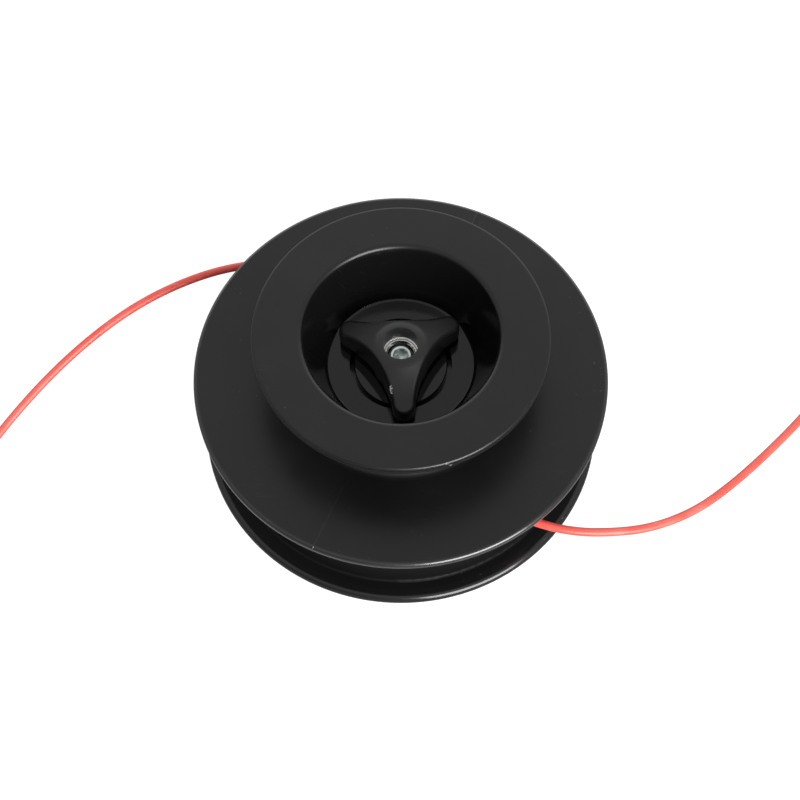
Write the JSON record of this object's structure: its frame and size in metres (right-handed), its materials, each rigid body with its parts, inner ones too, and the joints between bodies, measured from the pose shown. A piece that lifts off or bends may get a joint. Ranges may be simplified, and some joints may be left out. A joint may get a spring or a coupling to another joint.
{
  "type": "trimmer head",
  "caption": "Round manual-feed trimmer head: flanged spool with a grip cup and arm knob, closed over a housing with eyelets and nylon line.",
  "frame": {"origin": "on the head's axis, in the plane of the drive-side flange that it rests on", "axes": "+Z along the head's axis from the drive side to the knob, +X to the right of the picture, +Y away from the viewer"},
  "size_m": [0.3007, 0.13, 0.0605],
  "materials": {
    "housing_plastic": "satin black nylon moulding",
    "spool_plastic": "satin black nylon moulding",
    "knob_plastic": "glossy black plastic",
    "plated_steel": "bright zinc plated steel",
    "eyelet_metal": "turned aluminium",
    "nylon_line": "coral red extruded nylon"
  },
  "bodies": {
    "housing": {"housing": "housing_plastic", "drive_insert": "plated_steel", "centre_bolt": "plated_steel", "eyelet_right": "eyelet_metal", "eyelet_left": "eyelet_metal", "line_end_right": "nylon_line", "line_end_left": "nylon_line"},
    "spool": {"spool": "spool_plastic", "line_winding": "nylon_line"},
    "washer": {"thrust_washer": "knob_plastic"},
    "knob": {"knob": "knob_plastic", "knob_insert": "plated_steel"}
  },
  "joints": [
    {"name": "spool_turn", "type": "hinge", "parent": "housing", "child": "spool", "pos_m": [0, 0, 0.0225], "axis": [0, 0, 1], "continuous": true},
    {"name": "knob_rise", "type": "slide", "parent": "housing", "child": "washer", "axis": [0, 0, 1], "range_m": [0, 0.00375]},
    {"name": "knob_turn", "type": "hinge", "parent": "washer", "child": "knob", "pos_m": [0, 0, 0.0467], "axis": [0, 0, 1], "range_deg": [0, 1080]}
  ],
  "couplings": [
    {"joint": "knob_rise", "follows": "knob_turn", "m_per_rad": 0.00019894}
  ]
}
